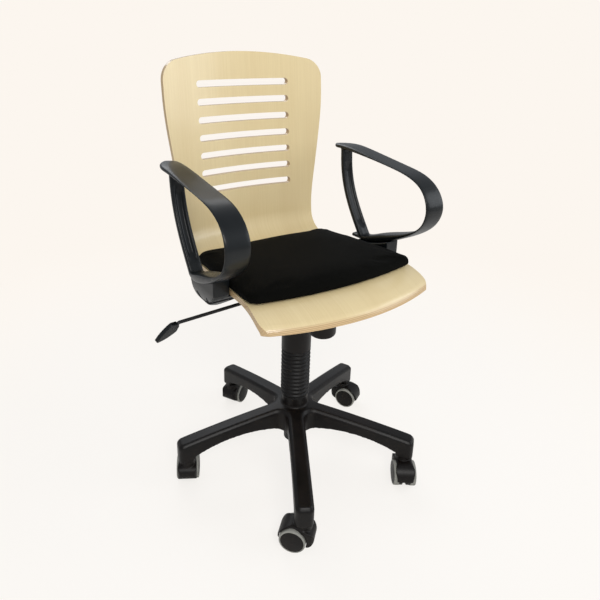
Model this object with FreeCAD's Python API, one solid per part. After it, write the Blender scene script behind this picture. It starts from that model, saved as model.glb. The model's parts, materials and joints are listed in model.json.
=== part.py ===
"""Swivel chair with a slotted one-piece plywood shell, a flat seat pad, two loop
armrests, a gas lift under a ribbed sleeve and a five-arm base on twin-wheel casters.

Units are millimetres. The origin is on the floor under the column, +Z is up, the
sitter looks along -Y, and +X is on the sitter's left.
"""
import FreeCAD, Part
import math
import os

Vector = FreeCAD.Vector
UP = Vector(0, 0, 1)
CORNER_CUT = 1 - math.sqrt(0.5)     # how far a quarter arc's middle lies inside its corner

# Clearances
RUNNING = 0.05          # radial play of a pin or shaft in its hole
SEAT_GAP = 0.3          # between bodies that rest on each other
PRESS = 0.01            # radial play of parts that are pressed together

# Base and its five arms
ARM_COUNT = 5
FIRST_ARM_ANGLE = -119.5    # the arm nearest the front, from +X
CASTER_CIRCLE = 280.0       # radius of the caster sockets
TIP_REACH = 22.0            # arm end beyond the socket centre
ARM_HALF_WIDTH = 20.5
ARM_BEVEL = 6.5
ARM_BLEND = 24.0            # rounding between neighbouring arms
ARM_CORNER = 12.0
ARM_TOP_ROOT = 167.0
ARM_TOP_TIP = 117.0
ARM_TOP_BULGE = 3.0
ARM_UNDER_ROOT = 103.0
ARM_UNDER_MIDDLE = 112.0
ARM_UNDER_TIP = 82.0
SOCKET_BOTTOM = 70.0
SOCKET_WALL = 16.0          # from the socket axis to the start of its block
ARM_WALL = 4.5
CROSS_RIBS = 4
RIB_THICKNESS = 4.0
HUB_RADIUS = 33.0
HUB_TOP = 196.0
HUB_BOTTOM = 88.0

# Casters
CASTER_HEIGHT = 70.0
WHEEL_RADIUS = 29.0
TRAIL = 19.0
CASTER_HEADINGS = [133.0, -124.0, -60.0, 30.0, 62.0]    # where each wheel pair trails
HOOD_RADIUS = 34.0
HOOD_HALF_WIDTH = 23.0
HOOD_NOSE_X = -8.0
HOOD_NOSE_Z = 38.0
HOOD_NOSE_RADIUS = 19.0
HOOD_ROUNDING = 12.0
HOOD_WHEEL_GAP = 1.3
BOSS_RADIUS = 19.0
BOSS_GAP = 0.5
WEB_HALF = 4.0
WHEEL_INNER = 4.6
WHEEL_OUTER = 26.5
WHEEL_DOME = 1.8
TREAD_THICKNESS = 3.4
TREAD_INNER = 14.0
AXLE_RADIUS = 3.0
AXLE_HALF_LENGTH = 22.0
STEM_RADIUS = 5.5
STEM_TOP = 100.0
STEM_BOTTOM = 55.0
STEM_RING_RADIUS = 6.5

# Gas lift
TUBE_RADIUS = 25.0
TUBE_WALL = 2.0
TUBE_BOTTOM = 62.0
TUBE_TOP = 290.0
TUBE_FLOOR = 4.0
CYLINDER_RADIUS = 14.0
CYLINDER_WALL = 2.0
CYLINDER_BOTTOM = 190.0
CYLINDER_TOP = 476.0
CYLINDER_END = 15.0
BUSH_LENGTH = 90.0
ROD_RADIUS = 5.0
PISTON_HEIGHT = 12.0
PISTON_BOTTOM = 214.0
BEARING_RADIUS = 15.0
BEARING_HEIGHT = 8.0
BUMPER_HEIGHT = 11.0
CLIP_RADIUS = 9.0
CLIP_THICKNESS = 1.5
CLIP_GROOVE = 1.0
VALVE_RADIUS = 3.0
VALVE_DEPTH = 14.0

# Sleeve round the column
SLEEVE_RADIUS = 36.0
SLEEVE_VALLEY = 32.6
SLEEVE_WALL = 1.8
RIB_TURNS = 12
SLEEVE_RIB_TOP = 325.0
CUFF_TOP = 441.0
CUFF_WALL = 2.5

# Tilt mechanism
PAN_HALF_WIDTH = 52.0
PAN_WALL = 2.5
PAN_FRONT = -128.0
PAN_REAR = 70.0
PAN_BOTTOM = 450.0
PAN_FRONT_BOTTOM = 462.0    # over the knob, which rises as the seat tilts
PAN_STEP = -62.0
BOLT_SWING = 10.5           # how far the tension bolt leans forward in its slot
PAN_TOP = 517.0
PAN_REAR_TOP = 497.0
SOCKET_RADIUS = 19.0
SOCKET_LOW = 437.0
SOCKET_HIGH = 484.0
PIVOT_Y = -30.0
PIVOT_Z = 500.0
PIVOT_RADIUS = 6.0
PIVOT_REACH = 62.0
EAR_THICKNESS = 4.0
EAR_GAP = 0.6
EAR_RADIUS = 15.0
PLATE_THICKNESS = 3.0
PLATE_HALF_WIDTH = 76.0
PLATE_FRONT = -132.0
PLATE_REAR = 112.0

# Tension knob and spring
KNOB_Y = -100.0
KNOB_RADIUS = 31.0
KNOB_BOTTOM = 408.0
KNOB_TOP = 440.0
KNOB_WALL = 3.5
KNOB_FLOOR = 6.0
KNOB_ROUNDING = 9.0
TENSION_RADIUS = 5.0
SPRING_RADIUS = 18.0
SPRING_WIRE = 2.5

# Height lever
LEVER_PIVOT_X = -46.0
LEVER_Z = 484.0
LEVER_DROP = 0.042          # fall per millimetre towards the handle
LEVER_RADIUS = 3.8
LEVER_INNER_X = 6.0
LEVER_BEND_X = -301.0
LEVER_NECK = 4.0
LEVER_TANG = 30.0
LEVER_TANG_RADIUS = 2.8
LEVER_PIN_RADIUS = 3.0
LUG_GAP = 1.0
LUG_THICKNESS = 3.0
HANDLE_LENGTH = 57.0
HANDLE_HALF_WIDTH = 20.0
HANDLE_THICKNESS = 9.0
HANDLE_SLOPE = 30.0
HANDLE_ROLL = 56.0

# Plywood shell
PLY = 13.0
SEAT_FRONT_Y = -140.0       # where the flat of the seat starts to fall away
SEAT_FRONT_Z = 551.5
SEAT_RAKE = 2.9             # degrees, down towards the back
LIP_Y = -232.0
LIP_Z = 530.0
LIP_BOW = 44.0              # how far the front edge draws back at its ends
NOSE_RADIUS = 26.0
NOSE_TURN = 48.0            # degrees that the nose turns down past the lip line
BEND_RADIUS = 62.0
BACK_RECLINE = 5.2
BACK_Y_LOW = 238.5          # front of the back at its centre, at the height below
BACK_LOW_Z = 600.0
BACK_TOP = 1007.0
BACK_PLAN_RADIUS = 720.0
SEAT_HALF_FRONT = 217.0
SEAT_HALF_MIDDLE = 204.0
WAIST_HALF = 187.0
SHOULDER_HALF = 219.0
SHOULDER_CORNER = 44.0
TOP_ARCH = 20.0
SLOT_COUNT = 7
SLOT_LENGTH = 257.0
SLOT_HEIGHT = 16.5
SLOT_TOP_SHARE = 0.8197     # height of the top slot, as a share of the back's rise
SLOT_PITCH_SHARE = 0.1042
FLANK_SHARES = (0.1106, 0.2580, 0.4545, 0.6511, 0.7862)    # heights where the sides bend
SECTION_REACH = 232.0
SECTION_COUNT = 7

# Seat pad
PAD_HALF_FRONT = 217.0
PAD_HALF_REAR = 196.0
PAD_FRONT = -158.0
PAD_FRONT_BOW = 21.0
PAD_REAR = 163.0
PAD_CORNER = 30.0
PAD_EDGE = 20.0
PAD_CROWN = 8.0
PAD_DRAW_IN = 5.0
BOARD_THICKNESS = 4.0
BOARD_INSET = 16.0

# Armrests
RIBBON_INNER = 222.0
RIBBON_WIDTH = 54.0
STRUT_INNER = 222.0
STRUT_WIDTH = 32.0
STRUT_THICKNESS = 13.0
GROOVE_DEPTH = 6.0
GROOVE_RAIL = 8.0
FOOT_TAPER = 24.0
FOOT_END = 12.0
RIBBON_END = 188.0
RIBBON_END_Z = 776.0
RIBBON_END_THICKNESS = 8.0
NOSE_LENGTH = 75.0
NOSE_SPARE = 3.0
BRACKET_FRONT = -62.0
BRACKET_REAR = 50.0
BRACKET_OUTER = 250.0
BRACKET_INNER = 213.0
BRACKET_WALL = 5.0
BRACKET_BELLY = 464.0
KEEL_FRONT_Z = 545.0
KEEL_STEP_Y = 13.0
KEEL_STEP_Z = 508.0

# Screws
PLATE_BOLT_X = 64.0
PLATE_BOLT_YS = (-115.0, 88.0)
BOLT_RADIUS = 3.0
BOLT_HEAD_RADIUS = 6.0
BOLT_HEAD = 4.0
BOLT_BITE = 9.0             # how far a screw goes into the shell
BRACKET_BOLT_X = 165.0
BRACKET_BOLT_YS = (-28.0, 22.0)
BRACKET_BOSS = 9.0
FOOT_BOLT_X = 238.0
FOOT_BOLT_YS = (-20.0, 28.0)
FOOT_BOLT_DEPTH = 30.0


def on_xz(point, y=0.0):
    return Vector(point[0], y, point[1])


def on_yz(point, x=0.0):
    return Vector(x, point[0], point[1])


def on_xy(point, z=0.0):
    return Vector(point[0], point[1], z)


def outline(start, steps, place, level=0.0):
    """Wire closed by a line where it needs one. A step is a corner, (middle, end) of an arc,
    or a list for a spline."""
    edges = []
    here = start
    for step in steps:
        if isinstance(step, list):
            curve = Part.BSplineCurve()
            curve.interpolate([place(p, level) for p in [here] + step])
            edges.append(curve.toShape())
            here = step[-1]
        elif isinstance(step[0], tuple):
            middle, end = step
            edges.append(Part.Arc(place(here, level), place(middle, level), place(end, level)).toShape())
            here = end
        else:
            edges.append(Part.LineSegment(place(here, level), place(step, level)).toShape())
            here = step
    if math.dist(here, start) > 1e-6:
        edges.append(Part.LineSegment(place(here, level), place(start, level)).toShape())
    return Part.Wire(edges)


def prism(start, steps, place, level, travel):
    return Part.Face(outline(start, steps, place, level)).extrude(travel)


def lathe(start, steps):
    """Solid turned about Z from an outline of (radius, height)."""
    face = Part.Face(outline(start, steps, on_xz))
    return face.revolve(Vector(0, 0, 0), UP, 360)


def rod(radius, low, high, x=0.0, y=0.0):
    return Part.makeCylinder(radius, high - low, Vector(x, y, low), UP)


def ring(outer, inner, low, high, x=0.0, y=0.0):
    return rod(outer, low, high, x, y).cut(rod(inner, low, high, x, y))


def rod_y(radius, start, end, x, z):
    return Part.makeCylinder(radius, end - start, Vector(x, start, z), Vector(0, 1, 0))


def rod_x(radius, start, end, y, z):
    return Part.makeCylinder(radius, end - start, Vector(start, y, z), Vector(1, 0, 0))


def block(low, high):
    size = [b - a for a, b in zip(low, high)]
    return Part.makeBox(*size, Vector(*low))


def mirrored(shape):
    return shape.mirror(Vector(0, 0, 0), Vector(1, 0, 0))


def turned(shape, angle, x=0.0, y=0.0):
    """Copy of a shape turned about Z, then moved to (x, y)."""
    copy = shape.copy()
    copy.rotate(Vector(0, 0, 0), UP, angle)
    copy.translate(Vector(x, y, 0))
    return copy


def joined(shapes):
    return shapes[0].multiFuse(shapes[1:]).removeSplitter()


def save(name, shape):
    shape.exportStep(os.path.join("parts", name + ".step"))


def arm_angle(index):
    return FIRST_ARM_ANGLE + index * 360.0 / ARM_COUNT


def socket_place(index):
    angle = math.radians(arm_angle(index))
    return CASTER_CIRCLE * math.cos(angle), CASTER_CIRCLE * math.sin(angle)


def arm_top(radius):
    share = (radius - HUB_RADIUS) / (CASTER_CIRCLE + TIP_REACH - HUB_RADIUS)
    return ARM_TOP_ROOT + (ARM_TOP_TIP - ARM_TOP_ROOT) * share


def star_outline(level):
    """Plan of the five arms, with rounded ends and rounded inner corners."""
    half_turn = math.radians(180.0 / ARM_COUNT)
    tip = CASTER_CIRCLE + TIP_REACH
    half = ARM_HALF_WIDTH
    blend_u = (half + ARM_BLEND) / math.tan(half_turn)
    blend_mid = (half + ARM_BLEND) / math.sin(half_turn) - ARM_BLEND
    corner = min(ARM_CORNER, 0.8 * half)
    cut = corner * CORNER_CUT

    def spot(index, u, v):
        angle = math.radians(arm_angle(index))
        return (u * math.cos(angle) - v * math.sin(angle), u * math.sin(angle) + v * math.cos(angle))

    steps = []
    for index in range(ARM_COUNT):
        middle = math.radians(arm_angle(index)) + half_turn
        steps.append(spot(index, tip - corner, -half))
        steps.append((spot(index, tip - cut, -half + cut), spot(index, tip, -half + corner)))
        steps.append(spot(index, tip, half - corner))
        steps.append((spot(index, tip - cut, half - cut), spot(index, tip - corner, half)))
        steps.append(spot(index, blend_u, half))
        bend = (blend_mid * math.cos(middle), blend_mid * math.sin(middle))
        steps.append((bend, spot(index + 1, blend_u, -half)))
    return outline(spot(0, blend_u, -half), steps, on_xy, level)


def bevelled_star():
    """The five arms: the plan cut to the side view, with the top edges bevelled."""
    tip = CASTER_CIRCLE + TIP_REACH
    block_start = CASTER_CIRCLE - SOCKET_WALL
    middle = (HUB_RADIUS + tip) / 2
    end = tip + ARM_CORNER
    side = lathe((0, ARM_UNDER_ROOT), [
        (HUB_RADIUS, ARM_UNDER_ROOT), ((middle, ARM_UNDER_MIDDLE), (block_start, ARM_UNDER_TIP)),
        (block_start + 4.0, SOCKET_BOTTOM), (end, SOCKET_BOTTOM), (end, arm_top(end)),
        ((middle, arm_top(middle) + ARM_TOP_BULGE), (HUB_RADIUS, ARM_TOP_ROOT)), (0, ARM_TOP_ROOT)])
    plan = Part.Face(star_outline(SOCKET_BOTTOM - 10.0)).extrude(Vector(0, 0, ARM_TOP_ROOT))
    star = plan.common(side)

    def on_top(point):
        radius = math.hypot(point.x, point.y)
        return radius > HUB_RADIUS + 1.0 and point.z > arm_top(radius) - 1.5

    rim = [edge for edge in star.Edges if all(on_top(vertex.Point) for vertex in edge.Vertexes)]
    return star.makeChamfer(ARM_BEVEL, rim)


def star_base():
    star = bevelled_star().fuse(rod(HUB_RADIUS, HUB_BOTTOM, HUB_TOP))
    for index in range(ARM_COUNT):
        star = star.cut(arm_pockets(index))
        x, y = socket_place(index)
        star = star.cut(rod(STEM_RADIUS + PRESS, SOCKET_BOTTOM - 1, STEM_TOP, x, y))
        star = star.cut(rod(STEM_RING_RADIUS + PRESS, STEM_TOP - 12.0, STEM_TOP - 8.0, x, y))
    return star.cut(rod(TUBE_RADIUS + PRESS, HUB_BOTTOM - 1, HUB_TOP + 1)).removeSplitter()


def arm_pockets(index):
    """Hollows under one arm, open below, with cross ribs between them."""
    start = HUB_RADIUS + ARM_BLEND / 2
    end = CASTER_CIRCLE - SOCKET_WALL - ARM_WALL
    half = ARM_HALF_WIDTH - ARM_WALL - 2.5
    pitch = (end - start + RIB_THICKNESS) / (CROSS_RIBS + 1)
    cells = []
    for cell in range(CROSS_RIBS + 1):
        near = start + cell * pitch
        far = near + pitch - RIB_THICKNESS
        cells.append(prism((near, SOCKET_BOTTOM - 5.0), [
            (far, SOCKET_BOTTOM - 5.0), (far, arm_top(far) - ARM_WALL), (near, arm_top(near) - ARM_WALL)],
            on_xz, -half, Vector(0, 2 * half, 0)))
    return turned(Part.makeCompound(cells), arm_angle(index))


def caster_stems():
    stem = rod(STEM_RADIUS, STEM_BOTTOM, STEM_TOP - 2.0)
    stem = stem.fuse(rod(STEM_RING_RADIUS, STEM_TOP - 12.0, STEM_TOP - 8.0))
    return Part.makeCompound([turned(stem, 0, *socket_place(i)) for i in range(ARM_COUNT)])


def caster_fork():
    """Hood, web and boss in the caster's own frame: swivel axis at 0, wheels at +X."""
    away = Vector(0, 2 * HOOD_HALF_WIDTH, 0)
    back = HOOD_HALF_WIDTH
    wheel = (TRAIL, WHEEL_RADIUS)
    dome = rod_y(HOOD_RADIUS, -back, back, *wheel)
    nose = rod_y(HOOD_NOSE_RADIUS, -back, back, HOOD_NOSE_X, HOOD_NOSE_Z)
    reach = TRAIL - HOOD_NOSE_X
    rise = WHEEL_RADIUS - HOOD_NOSE_Z
    span = math.hypot(reach, rise)
    lean = math.atan2(rise, reach) + math.acos((HOOD_NOSE_RADIUS - HOOD_RADIUS) / span)
    over, across = math.cos(lean), math.sin(lean)
    bridge = prism((HOOD_NOSE_X, HOOD_NOSE_Z), [
        (HOOD_NOSE_X + HOOD_NOSE_RADIUS * over, HOOD_NOSE_Z + HOOD_NOSE_RADIUS * across),
        (wheel[0] + HOOD_RADIUS * over, wheel[1] + HOOD_RADIUS * across), wheel,
        (HOOD_NOSE_X, HOOD_NOSE_Z - HOOD_NOSE_RADIUS + 2.0)],
        on_xz, -back, away)
    hood = dome.multiFuse([nose, bridge])
    hood = hood.cut(prism((-80, -20), [
        (120, -20), (120, WHEEL_RADIUS - 2.0), (TRAIL, WHEEL_RADIUS - 2.0),
        (HOOD_NOSE_X, HOOD_NOSE_Z - HOOD_NOSE_RADIUS), (-80, HOOD_NOSE_Z - HOOD_NOSE_RADIUS)],
        on_xz, -back, away))
    hood = hood.common(hood_trim())
    hood = hood.fuse(rod(BOSS_RADIUS, WHEEL_RADIUS + HOOD_RADIUS - 12.0, CASTER_HEIGHT - BOSS_GAP))
    hood = hood.fuse(web_plate())
    gap = HOOD_RADIUS - WHEEL_RADIUS - HOOD_WHEEL_GAP
    for start in (-back - 1.0, WEB_HALF):
        hood = hood.cut(rod_y(HOOD_RADIUS - gap, start, start + back - WEB_HALF + 1.0, *wheel))
    hood = hood.cut(rod(STEM_RADIUS + RUNNING, STEM_BOTTOM - 1.0, CASTER_HEIGHT))
    return hood.cut(rod_y(AXLE_RADIUS + PRESS, -WEB_HALF - 1, WEB_HALF + 1, *wheel)).removeSplitter()


def hood_trim():
    """Rounded bar that takes the corners off the hood, seen from above and from its end."""
    half, corner = HOOD_HALF_WIDTH, HOOD_ROUNDING
    cut = corner * CORNER_CUT
    front, rear = HOOD_NOSE_X - HOOD_NOSE_RADIUS - 1.0, TRAIL + HOOD_RADIUS + 1.0
    top = WHEEL_RADIUS + HOOD_RADIUS + 0.5
    plan = prism((front, 0), [
        (front, corner - half), ((front + cut, cut - half), (front + corner, -half)),
        (rear - corner, -half), ((rear - cut, cut - half), (rear, corner - half)),
        (rear, half - corner), ((rear - cut, half - cut), (rear - corner, half)),
        (front + corner, half), ((front + cut, half - cut), (front, half - corner))],
        on_xy, 0, Vector(0, 0, CASTER_HEIGHT))
    end = prism((-half, 0), [
        (half, 0), (half, top - corner), ((half - cut, top - cut), (half - corner, top)),
        (corner - half, top), ((cut - half, top - cut), (-half, top - corner))],
        on_yz, front, Vector(rear - front, 0, 0))
    return plan.common(end)


def web_plate():
    low = WHEEL_RADIUS - 12.0
    plate = rod_y(12.0, -WEB_HALF, WEB_HALF, TRAIL, WHEEL_RADIUS)
    panel = block((HOOD_NOSE_X, -WEB_HALF, low), (TRAIL, WEB_HALF, WHEEL_RADIUS + HOOD_RADIUS - 8.0))
    return plate.fuse(panel)


def wheel_core():
    """Wheel on the +Y side, turned about its axle."""
    seat = WHEEL_RADIUS - TREAD_THICKNESS
    rim = WHEEL_RADIUS - 0.8
    disc = seat - 1.5
    ball = (disc ** 2 + WHEEL_DOME ** 2) / (2 * WHEEL_DOME)
    half_way = math.asin(disc / ball) / 2
    top = WHEEL_OUTER + WHEEL_DOME
    blind = AXLE_HALF_LENGTH + 0.5
    core = lathe((AXLE_RADIUS + RUNNING, WHEEL_INNER), [
        (9.0, WHEEL_INNER), (9.0, 18.0), (21.0, 18.0), (21.0, WHEEL_INNER + 1.0), (rim, WHEEL_INNER + 1.0),
        (rim, TREAD_INNER), (seat, TREAD_INNER), (seat, WHEEL_OUTER - 0.6), (disc, WHEEL_OUTER),
        ((ball * math.sin(half_way), top - ball * (1 - math.cos(half_way))), (0, top)),
        (0, blind), (AXLE_RADIUS + RUNNING, blind)])
    return laid_on_axle(core)


def wheel_tread():
    seat = WHEEL_RADIUS - TREAD_THICKNESS
    tread = lathe((seat + PRESS, TREAD_INNER + PRESS), [
        (WHEEL_RADIUS, TREAD_INNER + PRESS), (WHEEL_RADIUS, WHEEL_OUTER - 2.5),
        ((WHEEL_RADIUS - 0.6, WHEEL_OUTER - 0.6), (WHEEL_RADIUS - 2.0, WHEEL_OUTER)),
        (seat + PRESS, WHEEL_OUTER)])
    return laid_on_axle(tread)


def laid_on_axle(shape):
    """Turn a lathe solid from +Z to +Y and set it on the wheel axis."""
    copy = shape.copy()
    copy.rotate(Vector(0, 0, 0), Vector(1, 0, 0), -90)
    copy.translate(Vector(TRAIL, 0, WHEEL_RADIUS))
    return copy


def save_casters():
    fork = caster_fork()
    axle = rod_y(AXLE_RADIUS, -AXLE_HALF_LENGTH, AXLE_HALF_LENGTH, TRAIL, WHEEL_RADIUS)
    core = wheel_core()
    tread = wheel_tread()
    flip = (Vector(0, 0, 0), Vector(0, 1, 0))
    pieces = {"fork": fork, "axle": axle, "left_wheel": core, "left_tread": tread,
              "right_wheel": core.mirror(*flip), "right_tread": tread.mirror(*flip)}
    for index, heading in enumerate(CASTER_HEADINGS):
        for name, piece in pieces.items():
            save("caster_%d_%s" % (index + 1, name), turned(piece, heading, *socket_place(index)))


def gas_outer_tube():
    bore = TUBE_RADIUS - TUBE_WALL
    tube = ring(TUBE_RADIUS, bore, TUBE_BOTTOM, TUBE_TOP)
    return tube.fuse(ring(bore, ROD_RADIUS + 1.0, TUBE_BOTTOM, TUBE_BOTTOM + TUBE_FLOOR))


def gas_guide_bush():
    return ring(TUBE_RADIUS - TUBE_WALL - PRESS, CYLINDER_RADIUS + RUNNING, TUBE_TOP - BUSH_LENGTH, TUBE_TOP)


def thrust_bearing():
    low = TUBE_BOTTOM + TUBE_FLOOR
    return ring(BEARING_RADIUS, ROD_RADIUS + RUNNING, low, low + BEARING_HEIGHT)


def gas_rod():
    low = TUBE_BOTTOM - 5.0
    piston = CYLINDER_RADIUS - CYLINDER_WALL - RUNNING
    shaft = rod(ROD_RADIUS, low, PISTON_BOTTOM + 4.0)
    groove_top = TUBE_BOTTOM - SEAT_GAP + PRESS
    groove_low = groove_top - CLIP_THICKNESS - 2 * PRESS
    groove = ring(ROD_RADIUS + 1.0, ROD_RADIUS - CLIP_GROOVE, groove_low, groove_top)
    return shaft.cut(groove).fuse(rod(piston, PISTON_BOTTOM, PISTON_BOTTOM + PISTON_HEIGHT)).removeSplitter()


def rod_bumper():
    low = TUBE_BOTTOM + TUBE_FLOOR + BEARING_HEIGHT + SEAT_GAP
    return ring(BEARING_RADIUS, ROD_RADIUS + PRESS, low, low + BUMPER_HEIGHT)


def rod_clip():
    high = TUBE_BOTTOM - SEAT_GAP
    return ring(CLIP_RADIUS, ROD_RADIUS - CLIP_GROOVE + PRESS, high - CLIP_THICKNESS, high)


def gas_cylinder():
    bore = CYLINDER_RADIUS - CYLINDER_WALL
    body = rod(CYLINDER_RADIUS, CYLINDER_BOTTOM, CYLINDER_TOP)
    body = body.cut(rod(bore, CYLINDER_BOTTOM + CYLINDER_END, CYLINDER_TOP - 2 * CYLINDER_END))
    body = body.cut(rod(ROD_RADIUS + RUNNING, CYLINDER_BOTTOM - 1, CYLINDER_BOTTOM + CYLINDER_END + 1))
    return body.cut(rod(VALVE_RADIUS + RUNNING, CYLINDER_TOP - VALVE_DEPTH, CYLINDER_TOP + 1))


def sleeve_ribs(crest, valley, low, high):
    """Ruled loft through four circles for each rib."""
    pitch = (high - low) / RIB_TURNS
    wires = []
    for rib in range(RIB_TURNS):
        for share, radius in ((0.0, valley), (0.3, crest), (0.55, crest), (0.85, valley)):
            circle = Part.Circle(Vector(0, 0, low + (rib + share) * pitch), UP, radius)
            wires.append(Part.Wire([circle.toShape()]))
    wires.append(Part.Wire([Part.Circle(Vector(0, 0, high), UP, valley).toShape()]))
    return Part.makeLoft(wires, True, True)


def column_bellows():
    low, high = HUB_TOP + SEAT_GAP, SLEEVE_RIB_TOP - SEAT_GAP
    outer = sleeve_ribs(SLEEVE_RADIUS, SLEEVE_VALLEY, low, high)
    inner = sleeve_ribs(SLEEVE_RADIUS - SLEEVE_WALL, SLEEVE_VALLEY - SLEEVE_WALL, low, high)
    return outer.cut(inner)


def column_cuff():
    lip = SOCKET_RADIUS + PRESS
    wall = ring(SLEEVE_RADIUS, SLEEVE_RADIUS - CUFF_WALL, SLEEVE_RIB_TOP, CUFF_TOP)
    return wall.fuse(ring(SLEEVE_RADIUS, lip, CUFF_TOP - CUFF_WALL, CUFF_TOP)).removeSplitter()


def pan_profile(inset, top_extra):
    """Side view of the pan: raised floor over the knob, and a rear top that leaves room to tilt."""
    front, rear = PAN_FRONT + inset, PAN_REAR - inset
    low, high = PAN_BOTTOM + inset, PAN_FRONT_BOTTOM + inset
    return (front, high), [
        (PAN_STEP, high), (PAN_STEP + 12.0, low), (rear - 12.0, low), (rear, low + 14.0),
        (rear, PAN_REAR_TOP + top_extra), (PIVOT_Y + 10.0, PAN_TOP + top_extra), (front, PAN_TOP + top_extra)]


def tilt_pan():
    half = PAN_HALF_WIDTH
    inner = half - PAN_WALL
    pan = prism(*pan_profile(0.0, 0.0), on_yz, -half, Vector(2 * half, 0, 0))
    pan = pan.cut(prism(*pan_profile(PAN_WALL, 10.0), on_yz, -inner, Vector(2 * inner, 0, 0)))
    stop_top = plate_under(PAN_FRONT) - SEAT_GAP
    pan = pan.fuse(block((-inner, PAN_FRONT, PAN_TOP - 5.0), (inner, PAN_FRONT + PAN_WALL, stop_top)))
    pan = pan.fuse(lever_lugs())
    pan = pan.cut(rod(SOCKET_RADIUS + PRESS, PAN_BOTTOM - 1, PAN_BOTTOM + PAN_WALL + 1))
    slot = TENSION_RADIUS + 1.0
    low, high = PAN_FRONT_BOTTOM - 1, PAN_FRONT_BOTTOM + PAN_WALL + 1
    pan = pan.cut(block((-slot, KNOB_Y - slot - BOLT_SWING, low), (slot, KNOB_Y + slot, high)))
    pan = pan.cut(rod_x(PIVOT_RADIUS + PRESS, -half - 1, half + 1, PIVOT_Y, PIVOT_Z))
    window = LEVER_RADIUS + 2.0
    pan = pan.cut(block((-half - 1, -window, LEVER_Z - 9.0), (-inner + 1, window, LEVER_Z + 9.0)))
    return pan.removeSplitter()


def lever_lugs():
    """Two small uprights inside the pan that carry the lever's cross pin."""
    lugs = []
    for side in (-1, 1):
        near = side * (LEVER_RADIUS + LUG_GAP)
        far = near + side * LUG_THICKNESS
        y_low, y_high = min(near, far), max(near, far)
        inner = PAN_HALF_WIDTH - PAN_WALL
        lug = block((-inner - 0.5, y_low, PAN_BOTTOM + 1.0), (LEVER_PIVOT_X + 8.0, y_high, LEVER_Z + 8.0))
        lugs.append(lug.cut(rod_y(LEVER_PIN_RADIUS + RUNNING, y_low - 1, y_high + 1, LEVER_PIVOT_X, LEVER_Z)))
    return Part.makeCompound(lugs)


def taper_socket():
    return ring(SOCKET_RADIUS, CYLINDER_RADIUS + PRESS, SOCKET_LOW, SOCKET_HIGH - 10.0)


def tilt_pin():
    return rod_x(PIVOT_RADIUS, -PIVOT_REACH, PIVOT_REACH, PIVOT_Y, PIVOT_Z)


def seat_top(y):
    """Height of the seat's flat top face."""
    return SEAT_FRONT_Z - (y - SEAT_FRONT_Y) * math.tan(math.radians(SEAT_RAKE))


def seat_under(y):
    return seat_top(y) - PLY / math.cos(math.radians(SEAT_RAKE))


def plate_under(y):
    return seat_under(y) - PLATE_THICKNESS


def under_slab(thickness, front, rear, x_low, x_high):
    """Slab that lies against the underside of the seat."""
    return prism((front, seat_under(front)), [
        (rear, seat_under(rear)), (rear, seat_under(rear) - thickness),
        (front, seat_under(front) - thickness)], on_yz, x_low, Vector(x_high - x_low, 0, 0))


def seat_plate():
    plate = under_slab(PLATE_THICKNESS, PLATE_FRONT, PLATE_REAR, -PLATE_HALF_WIDTH, PLATE_HALF_WIDTH)
    near = PAN_HALF_WIDTH + EAR_GAP
    ears = []
    for x in (near, -near - EAR_THICKNESS):
        ear = prism((PIVOT_Y - 3 * EAR_RADIUS, plate_under(PIVOT_Y - 3 * EAR_RADIUS) + 1.0), [
            (PIVOT_Y + 3 * EAR_RADIUS, plate_under(PIVOT_Y + 3 * EAR_RADIUS) + 1.0),
            (PIVOT_Y + EAR_RADIUS, PIVOT_Z),
            ((PIVOT_Y, PIVOT_Z - EAR_RADIUS), (PIVOT_Y - EAR_RADIUS, PIVOT_Z))],
            on_yz, x, Vector(EAR_THICKNESS, 0, 0))
        ears.append(ear)
    plate = joined([plate] + ears)
    plate = plate.cut(rod_x(PIVOT_RADIUS + RUNNING, -PIVOT_REACH, PIVOT_REACH, PIVOT_Y, PIVOT_Z))
    plate = plate.cut(rod(TENSION_RADIUS + PRESS, KNOB_BOTTOM, SEAT_FRONT_Z, 0, KNOB_Y))
    for x, y in plate_bolt_places():
        plate = plate.cut(rod(BOLT_RADIUS + PRESS, PAN_TOP, SEAT_FRONT_Z, x, y))
    return plate.removeSplitter()


def plate_bolt_places():
    return [(side * PLATE_BOLT_X, y) for y in PLATE_BOLT_YS for side in (-1, 1)]


def seat_plate_bolts():
    bolts = []
    for x, y in plate_bolt_places():
        head = plate_under(y) - 0.5
        shank = rod(BOLT_RADIUS, head - 1.0, seat_under(y) + BOLT_BITE, x, y)
        bolts.append(shank.fuse(rod(BOLT_HEAD_RADIUS, head - BOLT_HEAD, head, x, y)).removeSplitter())
    return Part.makeCompound(bolts)


def tension_bolt():
    top = plate_under(KNOB_Y)
    shank = rod(TENSION_RADIUS, KNOB_BOTTOM + 1.0, top + PLATE_THICKNESS / 2, 0, KNOB_Y)
    return shank.fuse(rod(TENSION_RADIUS + 4.0, top - 7.0, top - 0.6, 0, KNOB_Y)).removeSplitter()


def tension_knob():
    r, cut = KNOB_RADIUS, KNOB_ROUNDING * CORNER_CUT
    cup = lathe((TENSION_RADIUS + RUNNING, KNOB_BOTTOM), [
        (r - KNOB_ROUNDING, KNOB_BOTTOM), ((r - cut, KNOB_BOTTOM + cut), (r, KNOB_BOTTOM + KNOB_ROUNDING)),
        (r, KNOB_TOP), (r - KNOB_WALL, KNOB_TOP), (r - KNOB_WALL, KNOB_BOTTOM + KNOB_ROUNDING + 2.0),
        (r - KNOB_ROUNDING, KNOB_BOTTOM + KNOB_FLOOR), (TENSION_RADIUS + RUNNING, KNOB_BOTTOM + KNOB_FLOOR)])
    return turned(cup, 0, 0, KNOB_Y)


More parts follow.
